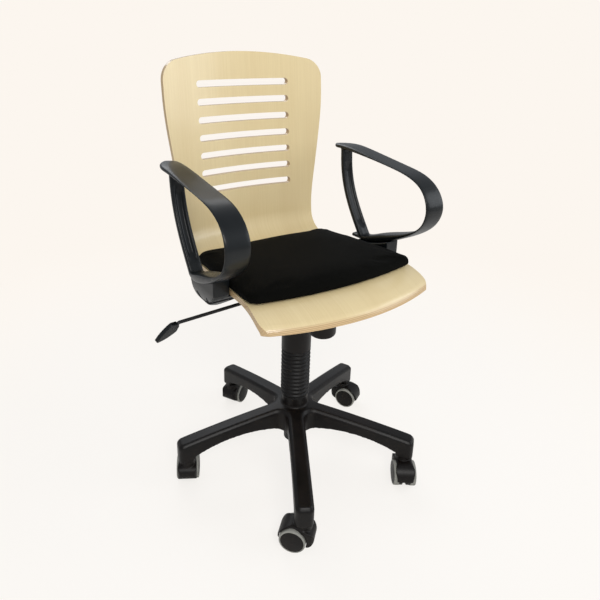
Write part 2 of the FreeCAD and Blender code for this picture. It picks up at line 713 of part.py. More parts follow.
def tension_spring():
    """The coil as one plain sleeve of its wire's thickness, between the knob's floor and the pan."""
    low = KNOB_BOTTOM + KNOB_FLOOR + SEAT_GAP
    high = PAN_FRONT_BOTTOM - SEAT_GAP
    return ring(SPRING_RADIUS + SPRING_WIRE, SPRING_RADIUS - SPRING_WIRE, low, high, 0, KNOB_Y)


def lever_height(x):
    return LEVER_Z + (x - LEVER_PIVOT_X) * LEVER_DROP


def handle_direction():
    slope = math.radians(HANDLE_SLOPE)
    return Vector(-math.cos(slope), 0, -math.sin(slope))


def lever_bar():
    inner = Vector(LEVER_INNER_X, 0, lever_height(LEVER_INNER_X))
    bend = Vector(LEVER_BEND_X, 0, lever_height(LEVER_BEND_X))
    along = bend - inner
    bar = Part.makeCylinder(LEVER_RADIUS, along.Length, inner, along)
    knee = Part.makeSphere(LEVER_RADIUS, bend)
    neck = Part.makeCylinder(LEVER_RADIUS, LEVER_NECK, bend, handle_direction())
    tang = Part.makeCylinder(LEVER_TANG_RADIUS, LEVER_TANG, bend, handle_direction())
    half = LEVER_RADIUS + LUG_GAP + LUG_THICKNESS
    pin = rod_y(LEVER_PIN_RADIUS, -half, half, LEVER_PIVOT_X, LEVER_Z)
    return joined([bar, knee, neck, tang, pin])


def lever_handle():
    """Flat spear-shaped grip, drawn along +X and then turned into place."""
    half, start = HANDLE_HALF_WIDTH, LEVER_NECK
    tip = start + HANDLE_LENGTH
    spear = prism((start, -7.0), [
        (start + 11.0, -half), ((start + 30.0, 3.0 - half), (tip - 2.0, -3.0)), ((tip, 0), (tip - 2.0, 3.0)),
        ((start + 30.0, half - 3.0), (start + 11.0, half)), (start, 7.0)],
        on_xy, -HANDLE_THICKNESS / 2, Vector(0, 0, HANDLE_THICKNESS))
    spear = spear.cut(rod_x(LEVER_TANG_RADIUS + PRESS, 0, LEVER_TANG + PRESS, 0, 0))
    spear.rotate(Vector(0, 0, 0), Vector(1, 0, 0), HANDLE_ROLL)
    spear.rotate(Vector(0, 0, 0), UP, 180)
    spear.rotate(Vector(0, 0, 0), Vector(0, 1, 0), -HANDLE_SLOPE)
    spear.translate(Vector(LEVER_BEND_X, 0, lever_height(LEVER_BEND_X)))
    return spear


def valve_pin():
    top = lever_height(0) - LEVER_RADIUS - SEAT_GAP
    return rod(VALVE_RADIUS, top - 10.0, top)


def back_height(share):
    return BACK_LOW_Z + share * (BACK_TOP - BACK_LOW_Z)


def back_front(z, x):
    """Y of the back's front face at a height and distance from the middle."""
    lean = math.tan(math.radians(BACK_RECLINE))
    return BACK_Y_LOW + (z - BACK_LOW_Z) * lean - x * x / (2 * BACK_PLAN_RADIUS)


def shell_section(x):
    """Closed lengthwise section of the plywood at one distance from the middle."""
    rake, recline = math.radians(SEAT_RAKE), math.radians(BACK_RECLINE)
    lip_y = LIP_Y + LIP_BOW * (x / SEAT_HALF_FRONT) ** 2
    fall_y = SEAT_FRONT_Y + lip_y - LIP_Y
    fall = (fall_y, seat_top(fall_y))
    lip = (lip_y, LIP_Z - 0.5 * (SEAT_FRONT_Z - seat_top(fall_y)))
    chord = math.hypot(fall[0] - lip[0], fall[1] - lip[1])
    turn = math.atan2(fall[1] - lip[1], fall[0] - lip[0]) + rake
    fall_radius = chord / (2 * math.sin(turn))
    centre = (fall[0] - fall_radius * math.sin(rake), fall[1] - fall_radius * math.cos(rake))

    def on_fall(angle, depth):
        reach = fall_radius - depth
        return (centre[0] + reach * math.sin(angle), centre[1] + reach * math.cos(angle))

    # The bend touches the raked seat line and the reclined back line
    slant = math.tan(recline)
    edge_y = back_front(0.0, x)
    rise = math.tan(rake)
    seat_zero = seat_top(0.0)
    reach_back = BEND_RADIUS / math.cos(recline)
    reach_seat = BEND_RADIUS / math.cos(rake)
    bend_z = (seat_zero + reach_seat - rise * (edge_y - reach_back)) / (1 + rise * slant)
    bend_y = edge_y + slant * bend_z - reach_back
    low_angle, high_angle = -math.pi / 2 - rake, -recline

    def on_bend(angle, depth):
        reach = BEND_RADIUS + depth
        return (bend_y + reach * math.cos(angle), bend_z + reach * math.sin(angle))

    top_z = BACK_TOP + 15.0
    top_front = (back_front(top_z, x), top_z)
    top_rear = (top_front[0] + PLY * math.cos(recline), top_z - PLY * math.sin(recline))
    mid_bend = (low_angle + high_angle) / 2
    lip_angle = rake - 2 * turn
    nose_turn = math.radians(NOSE_TURN)
    nose_centre = (centre[0] + (fall_radius - NOSE_RADIUS) * math.sin(lip_angle),
                   centre[1] + (fall_radius - NOSE_RADIUS) * math.cos(lip_angle))

    def on_nose(share, depth):
        angle = lip_angle - share * nose_turn
        reach = NOSE_RADIUS - depth
        return (nose_centre[0] + reach * math.sin(angle), nose_centre[1] + reach * math.cos(angle))

    steps = [
        (on_nose(0.5, 0), on_nose(0, 0)), (on_fall(rake - turn, 0), on_fall(rake, 0)),
        on_bend(low_angle, 0), (on_bend(mid_bend, 0), on_bend(high_angle, 0)),
        top_front, top_rear, on_bend(high_angle, PLY), (on_bend(mid_bend, PLY), on_bend(low_angle, PLY)),
        on_fall(rake, PLY), (on_fall(rake - turn, PLY), on_fall(lip_angle, PLY)),
        (on_nose(0.5, PLY), on_nose(1, PLY))]
    return outline(on_nose(1, 0), steps, on_yz, x)


def shell_trim():
    """Outline of the shell: a plan below the bend's end and a front view above it."""
    half, low, high = WAIST_HALF, BACK_LOW_Z - 140.0, BACK_LOW_Z - 8.0
    front = LIP_Y - NOSE_RADIUS
    corner_y = LIP_Y + LIP_BOW
    half_front = SEAT_HALF_FRONT
    corner = [(half_front - 37.0, corner_y - 31.0), (half_front - 12.0, corner_y - 17.0),
              (half_front - 2.0, corner_y - 2.0), (half_front - 1.0, corner_y + 20.0)]
    flank = [(SEAT_HALF_MIDDLE, -20.0), (half + 7.0, 120.0), (half, 205.0)]
    right = corner + flank
    left = [(-x, y) for x, y in reversed(right)]
    seat = prism((0, front), [
        (right[0][0] - 60.0, front), right[0], right[1:], (half, 340.0), (-half, 340.0), left[0], left[1:],
        (left[-1][0] + 60.0, front)], on_xy, low, Vector(0, 0, high - low))
    arch = BACK_TOP - TOP_ARCH
    shoulder = arch - SHOULDER_CORNER
    widths = [half + 2.0, half + 10.0, SHOULDER_HALF - 11.0, SHOULDER_HALF - 2.0, SHOULDER_HALF]
    flank = [(half, high)] + [(x, back_height(share)) for x, share in zip(widths, FLANK_SHARES)]
    bend = SHOULDER_CORNER * CORNER_CUT
    inner = SHOULDER_HALF - SHOULDER_CORNER
    mirror_flank = [(-x, z) for x, z in reversed(flank)]
    back = prism((half, high), [
        flank[1:], (SHOULDER_HALF, shoulder),
        ((SHOULDER_HALF - bend, arch - bend + 1.5), (inner, arch + 4.0)),
        ((0, BACK_TOP), (-inner, arch + 4.0)),
        ((bend - SHOULDER_HALF, arch - bend + 1.5), (-SHOULDER_HALF, shoulder)),
        mirror_flank[0], mirror_flank[1:]], on_xz, 120.0, Vector(0, 220.0, 0))
    return seat.fuse(back)


def back_slots():
    slots = []
    half = SLOT_HEIGHT / 2
    straight = SLOT_LENGTH / 2 - half
    for index in range(SLOT_COUNT):
        z = back_height(SLOT_TOP_SHARE - index * SLOT_PITCH_SHARE)
        slots.append(prism((-straight, z - half), [
            (straight, z - half), ((straight + half, z), (straight, z + half)),
            (-straight, z + half), ((-straight - half, z), (-straight, z - half))],
            on_xz, 120.0, Vector(0, 220.0, 0)))
    return Part.makeCompound(slots)


def plywood_shell():
    spread = [SECTION_REACH * (2 * i / (SECTION_COUNT - 1) - 1) for i in range(SECTION_COUNT)]
    slab = Part.makeLoft([shell_section(x) for x in spread], True, False)
    shell = slab.common(shell_trim()).cut(back_slots())
    for x, y in plate_bolt_places() + bracket_bolt_places():
        shell = shell.cut(rod(BOLT_RADIUS + PRESS, LIP_Z - 40.0, seat_under(y) + BOLT_BITE, x, y))
    return shell


def pad_outline(inset, lift):
    """Plan of the pad at a height, with a bowed front and round corners."""
    front, rear = PAD_FRONT + inset, PAD_REAR - inset
    half_front, half_rear = PAD_HALF_FRONT - inset, PAD_HALF_REAR - inset
    corner = PAD_CORNER
    cut = corner * CORNER_CUT
    return outline((half_front - corner, front), [
        ((half_front - cut, front + cut), (half_front, front + corner)),
        (half_rear, rear - corner), ((half_rear - cut, rear - cut), (half_rear - corner, rear)),
        (corner - half_rear, rear), ((cut - half_rear, rear - cut), (-half_rear, rear - corner)),
        (-half_front, front + corner), ((cut - half_front, front + cut), (corner - half_front, front)),
        ((0, front - PAD_FRONT_BOW), (half_front - corner, front))], on_xy, lift)


def laid_on_seat(shape):
    """Tip a flat piece by the seat's rake and set its zero level on the seat's top face."""
    copy = shape.copy()
    copy.rotate(Vector(0, 0, 0), Vector(1, 0, 0), -SEAT_RAKE)
    copy.translate(Vector(0, 0, seat_top(0)))
    return copy


def seat_pad():
    rim = Part.makeLoft([pad_outline(PAD_DRAW_IN, SEAT_GAP), pad_outline(0.5, 0.35 * PAD_EDGE),
                         pad_outline(0.5, 0.65 * PAD_EDGE), pad_outline(PAD_DRAW_IN, PAD_EDGE)], True, False)
    low = PAD_EDGE - 0.5
    reach_x, reach_y = PAD_HALF_FRONT + 30.0, (PAD_REAR - PAD_FRONT) / 2 + PAD_FRONT_BOW + 20.0
    middle_y = (PAD_REAR + PAD_FRONT) / 2
    arch_x = prism((-reach_x, low), [
        (reach_x, low), ((0, PAD_EDGE + PAD_CROWN), (-reach_x, low))],
        on_xz, middle_y - reach_y, Vector(0, 2 * reach_y, 0))
    arch_y = prism((middle_y - reach_y, low), [
        (middle_y + reach_y, low), ((middle_y, PAD_EDGE + PAD_CROWN), (middle_y - reach_y, low))],
        on_yz, -reach_x, Vector(2 * reach_x, 0, 0))
    top = Part.Face(pad_outline(PAD_DRAW_IN + 0.5, low)).extrude(Vector(0, 0, 2 * PAD_CROWN))
    pad = rim.fuse(arch_x.common(arch_y).common(top))
    recess_depth = BOARD_THICKNESS + SEAT_GAP + PRESS
    recess = Part.Face(pad_outline(BOARD_INSET - PRESS, 0)).extrude(Vector(0, 0, recess_depth))
    return laid_on_seat(pad.cut(recess))


def pad_board():
    board = Part.Face(pad_outline(BOARD_INSET, SEAT_GAP)).extrude(Vector(0, 0, BOARD_THICKNESS))
    return laid_on_seat(board)


def foot_line():
    """Underside of the armrest's foot, from the front loop to its rear end."""
    return [(-126.0, 612.0), (-85.0, 588.0), (-38.0, 567.0), (8.0, 554.0), (46.0, 549.5), (78.0, 549.0)]


def ribbon_outer():
    """Outer line of the ribbon from its rear end, over the top and down to the foot."""
    return [(163.0, 779.0), (60.0, 772.0), (-51.0, 756.0), (-110.0, 744.0), (-148.0, 721.0),
            (-169.0, 680.0), (-155.0, 640.0)] + foot_line()


def ribbon_inner():
    """Inner line of the ribbon from the foot's end back round to the top."""
    return [(40.0, 561.0), (-5.0, 577.0), (-81.0, 602.0), (-122.0, 619.0), (-147.0, 637.0),
            (-161.0, 677.0), (-141.0, 723.0), (-107.0, 741.0), (-47.0, 753.0), (60.0, 763.5), (160.0, 768.0)]


def arm_ribbon():
    end = RIBBON_END + NOSE_SPARE
    face = Part.Face(outline((end, RIBBON_END_Z), [
        ribbon_outer(), ((84.0, 554.0), (78.0, 559.5)), ribbon_inner(),
        (end, RIBBON_END_Z - RIBBON_END_THICKNESS)], on_yz, RIBBON_INNER))
    return face.extrude(Vector(RIBBON_WIDTH, 0, 0))


def strut_line(offset):
    """Line of the upright, moved rearwards by an offset."""
    line = ((44.0, 553.0), (78.0, 600.0), (113.0, 660.0), (132.0, 720.0), (137.0, 772.0))
    return [(y + offset, z) for y, z in line]


def arm_strut():
    """Upright of the armrest: a flat bar with a groove between two rails on its front."""
    half = STRUT_THICKNESS / 2
    rear, front = strut_line(half), strut_line(-half)
    body = prism(rear[0], [rear[1:], front[-1], front[-2::-1]], on_yz, STRUT_INNER, Vector(STRUT_WIDTH, 0, 0))
    deep = strut_line(GROOVE_DEPTH - half)[1:-1]
    clear = strut_line(-3 * half)[1:-1]
    groove = prism(deep[0], [deep[1:], clear[-1], clear[-2::-1]],
                   on_yz, STRUT_INNER + GROOVE_RAIL, Vector(STRUT_WIDTH - 2 * GROOVE_RAIL, 0, 0))
    return body.cut(groove)


def nose_trim():
    """What the ribbon's rear end loses where it is rounded, seen from above."""
    low, high = RIBBON_INNER, RIBBON_INNER + RIBBON_WIDTH
    tip = (low + 0.4 * RIBBON_WIDTH, RIBBON_END)
    side = RIBBON_END - NOSE_LENGTH
    inner = (low - NOSE_SPARE, RIBBON_END - 36.0)
    left, right, past = low - 2 * NOSE_SPARE, high + NOSE_SPARE, RIBBON_END + 2 * NOSE_SPARE
    return prism((high, side), [
        ((high - 12.0, RIBBON_END - 26.0), tip), ((low + 9.0, RIBBON_END - 11.0), inner),
        (left, inner[1]), (left, past), (right, past), (right, side)], on_xy, 700.0, Vector(0, 0, 100.0))


def foot_trim():
    """What the foot loses on its outer side, where it narrows to a round end."""
    high = RIBBON_INNER + RIBBON_WIDTH
    inner_end = RIBBON_INNER + FOOT_END
    return prism((high + 1.0, -120.0), [
        (high, -120.0), ((high - 8.0, -20.0), (high - FOOT_TAPER, 55.0)),
        ((high - FOOT_TAPER - 8.0, 80.0), (inner_end, 90.0)), (high + 1.0, 90.0)],
        on_xy, 500.0, Vector(0, 0, 140.0))


def arm_loop():
    ribbon = arm_ribbon().cut(nose_trim()).cut(foot_trim())
    loop = ribbon.fuse(arm_strut().common(inside_loop(RIBBON_INNER, RIBBON_WIDTH)))
    for y in FOOT_BOLT_YS:
        loop = loop.cut(rod(BOLT_RADIUS + PRESS, 500.0, foot_height(y) + 6.0, FOOT_BOLT_X, y))
    return loop.removeSplitter()


def inside_loop(near_x, width):
    """All that lies inside the ribbon's outer line, and so on or above its foot."""
    end = foot_line()[-1]
    return prism((RIBBON_END, RIBBON_END_Z), [ribbon_outer(), (300.0, end[1]), (300.0, RIBBON_END_Z)],
                 on_yz, near_x, Vector(width, 0, 0))


def foot_height(y):
    """Height of the foot's underside, read from its line."""
    line = foot_line()
    for near, far in zip(line, line[1:]):
        if near[0] <= y <= far[0]:
            share = (y - near[0]) / (far[0] - near[0])
            return near[1] + share * (far[1] - near[1])
    return line[-1][1]


def bracket_places():
    return [(FOOT_BOLT_X, y) for y in FOOT_BOLT_YS]


def bracket_bolt_places():
    return [(side * BRACKET_BOLT_X, y) for y in BRACKET_BOLT_YS for side in (-1, 1)]


def bracket_section(inset):
    outer, belly = BRACKET_OUTER - inset, BRACKET_BELLY + inset
    return (outer, 590.0), [
        (outer, 545.0), ((outer - 17.0, belly + 33.0), (outer - 62.0, belly)),
        ((152.0 - 0.3 * inset, belly + 17.0), (122.0 + inset, 540.0)), (122.0 + inset, 590.0)]


def bracket_keel(lift):
    """Side view of the gusset: its front rises well clear of the lever and drops behind it."""
    front, rear = BRACKET_FRONT - 1.0, BRACKET_REAR + 1.0
    return prism((front, KEEL_FRONT_Z + lift), [
        ((-40.0, KEEL_FRONT_Z - 22.0 + lift), (KEEL_STEP_Y, KEEL_STEP_Z + lift)),
        (KEEL_STEP_Y + 9.0, KEEL_STEP_Z - 24.0 + lift), (rear, BRACKET_BELLY - 2.0 + lift), (rear, 600.0),
        (front, 600.0)], on_yz, 100.0, Vector(200, 0, 0))


def arm_bracket():
    """Boat-shaped gusset that carries an armrest from under the seat."""
    length = BRACKET_REAR - BRACKET_FRONT
    body = prism(*bracket_section(0.0), on_xz, BRACKET_FRONT, Vector(0, length, 0))
    wall = BRACKET_WALL
    hollow = prism(*bracket_section(wall), on_xz, BRACKET_FRONT + wall, Vector(0, length - 2 * wall, 0))
    hollow = hollow.cut(block((BRACKET_INNER - 8.0, -200, 440), (300, 200, 600)))
    keel = bracket_keel(0.0)
    keel_in = bracket_keel(BRACKET_WALL)
    body = body.common(keel)
    hollow = hollow.common(keel_in)
    for y in BRACKET_BOLT_YS:
        hollow = hollow.cut(rod(BRACKET_BOSS, 440.0, 600.0, BRACKET_BOLT_X, y))
    body = body.cut(hollow)
    above_seat = under_slab(-90.0, -200.0, 200.0, 100.0, BRACKET_INNER)
    body = body.cut(above_seat)
    body = body.cut(inside_loop(BRACKET_INNER - 1.0, 90.0))
    for y in BRACKET_BOLT_YS:
        body = body.cut(rod(BOLT_RADIUS + PRESS, 440.0, 600.0, BRACKET_BOLT_X, y))
        body = body.cut(rod(BOLT_HEAD_RADIUS + 1.0, 440.0, seat_under(y) - 14.0, BRACKET_BOLT_X, y))
    for x, y in bracket_places():
        top = foot_height(y)
        body = body.cut(rod(BOLT_RADIUS + PRESS, top - FOOT_BOLT_DEPTH, top + 5.0, x, y))
        body = body.cut(rod(BOLT_HEAD_RADIUS + 1.0, 440.0, top - FOOT_BOLT_DEPTH + 2.0, x, y))
    return body.removeSplitter()


def arm_bolts():
    bolts = []
    for y in BRACKET_BOLT_YS:
        head = seat_under(y) - 14.0
        shank = rod(BOLT_RADIUS, head - 1.0, seat_under(y) + BOLT_BITE - 0.5, BRACKET_BOLT_X, y)
        bolts.append(shank.fuse(rod(BOLT_HEAD_RADIUS, head - BOLT_HEAD, head, BRACKET_BOLT_X, y)))
    for x, y in bracket_places():
        head = foot_height(y) - FOOT_BOLT_DEPTH + 2.0
        shank = rod(BOLT_RADIUS, head - 1.0, foot_height(y) + 5.0, x, y)
        bolts.append(shank.fuse(rod(BOLT_HEAD_RADIUS, head - BOLT_HEAD, head, x, y)))
    bolts = [bolt.removeSplitter() for bolt in bolts]
    return Part.makeCompound(bolts + [mirrored(bolt) for bolt in bolts])


def main():
    os.makedirs("parts", exist_ok=True)
    save("star_base", star_base())
    save("caster_stems", caster_stems())
    save("gas_outer_tube", gas_outer_tube())
    save("gas_guide_bush", gas_guide_bush())
    save("thrust_bearing", thrust_bearing())
    save("gas_rod", gas_rod())
    save("rod_bumper", rod_bumper())
    save("rod_clip", rod_clip())
    save("column_bellows", column_bellows())
    save("gas_cylinder", gas_cylinder())
    save("column_cuff", column_cuff())
    save("tilt_pan", tilt_pan())
    save("taper_socket", taper_socket())
    save("tilt_pin", tilt_pin())
    save("tension_spring", tension_spring())
    save("tension_knob", tension_knob())
    save("tension_bolt", tension_bolt())
    save("lever_bar", lever_bar())
    save("lever_handle", lever_handle())
    save("valve_pin", valve_pin())
    save("seat_plate", seat_plate())
    save("seat_plate_bolts", seat_plate_bolts())
    save("plywood_shell", plywood_shell())
    save("pad_board", pad_board())
    save("seat_pad", seat_pad())
    loop = arm_loop()
    save("arm_loop_left", loop)
    save("arm_loop_right", mirrored(loop))
    bracket = arm_bracket()
    save("arm_bracket_left", bracket)
    save("arm_bracket_right", mirrored(bracket))
    save("arm_bolts", arm_bolts())
    save_casters()


main()
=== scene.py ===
import bpy
import bmesh
import json
import math
import numpy as np
from mathutils import Matrix, Vector


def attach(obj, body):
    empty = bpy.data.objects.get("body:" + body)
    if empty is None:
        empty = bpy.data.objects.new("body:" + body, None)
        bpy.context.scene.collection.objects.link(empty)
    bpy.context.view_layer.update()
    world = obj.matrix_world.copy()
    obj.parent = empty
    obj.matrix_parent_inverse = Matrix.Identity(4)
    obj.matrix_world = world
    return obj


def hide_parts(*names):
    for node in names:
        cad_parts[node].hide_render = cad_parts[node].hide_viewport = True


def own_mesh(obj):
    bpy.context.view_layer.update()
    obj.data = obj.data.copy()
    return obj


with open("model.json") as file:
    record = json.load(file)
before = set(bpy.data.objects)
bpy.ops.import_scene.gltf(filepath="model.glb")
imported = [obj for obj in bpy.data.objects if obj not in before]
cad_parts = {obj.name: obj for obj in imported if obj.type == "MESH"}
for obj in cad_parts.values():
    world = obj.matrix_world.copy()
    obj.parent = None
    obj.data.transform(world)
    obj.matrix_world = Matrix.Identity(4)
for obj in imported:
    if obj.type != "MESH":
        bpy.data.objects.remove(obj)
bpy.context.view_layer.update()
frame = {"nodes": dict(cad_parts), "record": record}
scene = bpy.context.scene
MM = 0.001
CORNER_CUT = 1 - math.sqrt(0.5)     # how far a quarter arc's middle lies inside its corner


# Shader building

def linear(r, g, b):
    """Colour as seen on screen, 0 to 255, to the linear values that a socket takes."""
    out = []
    for c in (r, g, b):
        c = c / 255.0
        out.append(c / 12.92 if c <= 0.04045 else ((c + 0.055) / 1.055) ** 2.4)
    return (*out, 1.0)


class Shader:
    """One material, and the short calls that build its nodes."""

    def __init__(self, name):
        self.material = bpy.data.materials.new(name)
        self.material.use_nodes = True
        self.tree = self.material.node_tree
        self.bsdf = self.tree.nodes["Principled BSDF"]
        self.place = self.add("ShaderNodeTexCoord").outputs["Object"]

    def add(self, kind, **settings):
        node = self.tree.nodes.new(kind)
        for key, value in settings.items():
            setattr(node, key, value)
        return node

    def feed(self, socket, value):
        if isinstance(value, bpy.types.NodeSocket):
            self.tree.links.new(value, socket)
        else:
            socket.default_value = value

    def math(self, kind, a, b=0.0):
        node = self.add("ShaderNodeMath", operation=kind)
        self.feed(node.inputs[0], a)
        self.feed(node.inputs[1], b)
        return node.outputs[0]

    def step(self, value, low, high):
        """0 below the low value, 1 above the high one and smooth between them."""
        node = self.add("ShaderNodeMapRange", interpolation_type="SMOOTHSTEP")
        self.feed(node.inputs["Value"], value)
        node.inputs["From Min"].default_value = low
        node.inputs["From Max"].default_value = high
        return node.outputs["Result"]

    def split(self, vector):
        node = self.add("ShaderNodeSeparateXYZ")
        self.feed(node.inputs[0], vector)
        return node.outputs

    def vector(self, x, y, z):
        node = self.add("ShaderNodeCombineXYZ")
        for socket, value in zip(node.inputs, (x, y, z)):
            self.feed(socket, value)
        return node.outputs[0]

    def scaled(self, vector, scale):
        node = self.add("ShaderNodeMapping")
        self.feed(node.inputs["Vector"], vector)
        node.inputs["Scale"].default_value = scale
        return node.outputs[0]

    def noise(self, vector, scale, detail=3.0, rough=0.55):
        node = self.add("ShaderNodeTexNoise")
        self.feed(node.inputs["Vector"], vector)
        node.inputs["Scale"].default_value = scale
        node.inputs["Detail"].default_value = detail
        node.inputs["Roughness"].default_value = rough
        return node.outputs["Fac"]

    def mix(self, share, a, b):
        node = self.add("ShaderNodeMix", data_type="RGBA")
        self.feed(node.inputs["Factor"], share)
        self.feed(node.inputs["A"], a)
        self.feed(node.inputs["B"], b)
        return node.outputs["Result"]

    def bump(self, height, strength, distance):
        node = self.add("ShaderNodeBump")
        self.feed(node.inputs["Height"], height)
        node.inputs["Strength"].default_value = strength
        node.inputs["Distance"].default_value = distance
        self.feed(self.bsdf.inputs["Normal"], node.outputs[0])

    def set(self, **sockets):
        for key, value in sockets.items():
            self.feed(self.bsdf.inputs[key.replace("_", " ")], value)
        return self.material


# Shape of the plywood shell, which its grain and its plies follow

BEND_Y, BEND_Z = 0.1760, 0.5976             # middle of the seat's and the back's common bend
RAKE = math.tan(math.radians(2.9))          # fall of the seat towards the back
RECLINE = math.tan(math.radians(5.2))
PLAN_DIAMETER = 2 * 0.720                   # of the back's curve across the sitter
PLY_LAYER = 0.00144


def beech():
    """Pale beech veneer that runs along the shell, and its layered edges."""
    s = Shader("beech_ply_finish")
    x, y, z = s.split(s.place)[:3]
    y_flat = s.math("ADD", y, s.math("DIVIDE", s.math("MULTIPLY", x, x), PLAN_DIAMETER))
    ahead = s.math("MINIMUM", y_flat, BEND_Y)
    z_flat = s.math("ADD", z, s.math("MULTIPLY", ahead, RAKE))
    above = s.math("MAXIMUM", s.math("SUBTRACT", z, BEND_Z), 0.0)
    y_up = s.math("SUBTRACT", y_flat, s.math("MULTIPLY", above, RECLINE))
    out_y = s.math("MAXIMUM", s.math("SUBTRACT", y_up, BEND_Y), 0.0)
    out_z = s.math("MAXIMUM", s.math("SUBTRACT", BEND_Z + BEND_Y * RAKE, z_flat), 0.0)
    reach = s.math("SQRT", s.math("ADD", s.math("MULTIPLY", out_y, out_y), s.math("MULTIPLY", out_z, out_z)))
    _, ny, nz = s.split(s.add("ShaderNodeTexCoord").outputs["Normal"])[:3]
    along = s.math("SUBTRACT", s.math("MULTIPLY", out_y, ny), s.math("MULTIPLY", out_z, nz))
    facing = s.math("ABSOLUTE", s.math("DIVIDE", along, s.math("MAXIMUM", reach, 0.001)))
    edge = s.math("SUBTRACT", 1.0, s.step(facing, 0.50, 0.72))
    length = s.math("SUBTRACT", z, y)
    lines = s.noise(s.vector(x, 0.0, s.math("MULTIPLY", length, 0.012)), 420.0, 4.0, 0.6)
    bands = s.noise(s.vector(x, 0.0, s.math("MULTIPLY", length, 0.10)), 16.0, 2.0, 0.5)
    fleck = s.noise(s.vector(x, 0.0, s.math("MULTIPLY", length, 0.16)), 900.0, 1.0, 0.4)
    broad = s.noise(s.place, 3.2, 1.0, 0.5)
    veneer = s.mix(s.step(lines, 0.30, 0.72), linear(224, 204, 157), linear(217, 196, 148))
    veneer = s.mix(s.math("MULTIPLY", s.step(bands, 0.35, 0.75), 0.30), veneer, linear(207, 181, 130))
    veneer = s.mix(s.math("MULTIPLY", s.step(broad, 0.30, 0.80), 0.25), veneer, linear(234, 217, 176))
    veneer = s.mix(s.math("MULTIPLY", s.step(fleck, 0.66, 0.82), 0.20), veneer, linear(184, 150, 100))
    layer = s.math("SINE", s.math("MULTIPLY", reach, math.pi / PLY_LAYER))
    layers = s.mix(s.step(layer, -0.25, 0.25), linear(172, 142, 100), linear(212, 184, 138))
    layers = s.mix(s.math("MULTIPLY", s.noise(s.place, 260.0, 3.0), 0.5), layers, linear(190, 158, 112))
    pores = s.noise(s.place, 700.0, 2.0)
    s.bump(s.math("ADD", s.math("MULTIPLY", lines, 0.7), s.math("MULTIPLY", pores, 0.3)), 0.10, 0.0006)
    rough = s.math("ADD", 0.30, s.math("MULTIPLY", s.math("ADD", lines, edge), 0.16))
    colour = s.mix(edge, veneer, layers)
    return s.set(Base_Color=colour, Roughness=rough, Coat_Weight=0.60, Coat_Roughness=0.14)


def fabric():
    """Plain black upholstery cloth, with a fine weave and a faint sheen."""
    s = Shader("black_fabric_finish")
    threads = []
    for direction in ("X", "Y"):
        thread = s.add("ShaderNodeTexWave", wave_type="BANDS", bands_direction=direction)
        s.feed(thread.inputs["Vector"], s.place)
        thread.inputs["Scale"].default_value = 190.0
        thread.inputs["Distortion"].default_value = 0.6
        threads.append(thread.outputs["Fac"])
    weave = s.math("MAXIMUM", *threads)
    lint = s.noise(s.place, 1500.0, 2.0)
    worn = s.noise(s.place, 9.0, 3.0)
    colour = s.mix(weave, linear(2, 2, 1), linear(8, 8, 6))
    colour = s.mix(s.math("MULTIPLY", s.step(worn, 0.40, 0.75), 0.35), colour, linear(13, 13, 10))
    s.bump(s.math("ADD", weave, s.math("MULTIPLY", lint, 0.6)), 0.35, 0.0005)
    rough = s.math("ADD", 0.72, s.math("MULTIPLY", lint, 0.16))
    return s.set(Base_Color=colour, Roughness=rough, Sheen_Weight=0.012, Sheen_Roughness=0.35,
                 Specular_IOR_Level=0.05)


def moulded(name, dark, light, low, high, grain=1100.0, strength=0.16, scuffs=0.25, coat=0.0, shine=0.5):
    """Moulded plastic or rubber: a fine grained skin, cloudy gloss and a few light scuffs."""
    s = Shader(name)
    cloud = s.noise(s.place, 14.0, 4.0)
    skin = s.noise(s.place, grain, 2.0)
    scratch = s.noise(s.scaled(s.place, (1.0, 0.12, 0.6)), 380.0, 2.0, 0.7)
    colour = s.mix(s.step(cloud, 0.32, 0.70), linear(*dark), linear(*light))
    mark = s.math("MULTIPLY", s.step(scratch, 0.70, 0.84), scuffs)
    colour = s.mix(mark, colour, linear(*[min(255, v + 38) for v in light]))
    uneven = s.math("ADD", cloud, s.math("MULTIPLY", mark, 0.6))
    gloss = s.math("ADD", low, s.math("MULTIPLY", uneven, high - low))
    s.bump(s.math("ADD", skin, s.math("MULTIPLY", cloud, 0.3)), strength, 0.0004)
    return s.set(Base_Color=colour, Roughness=gloss, Coat_Weight=coat, Coat_Roughness=0.14,
                 Specular_IOR_Level=shine)


def steel(name, colour, metal, low, high, drawn=(1.0, 1.0, 0.05), shine=0.5):
    """Painted or bright steel, with the marks of its making."""
    s = Shader(name)
    marks = s.noise(s.scaled(s.place, drawn), 900.0, 3.0)
    cloud = s.noise(s.place, 30.0, 3.0)
    lighter = [min(255, int(v * 1.18) + 4) for v in colour]
    shade = s.mix(s.step(cloud, 0.3, 0.75), linear(*colour), linear(*lighter))
    rough = s.math("ADD", low, s.math("MULTIPLY", marks, high - low))
    s.bump(marks, 0.12, 0.0003)
    return s.set(Base_Color=shade, Metallic=metal, Specular_IOR_Level=shine, Roughness=rough)


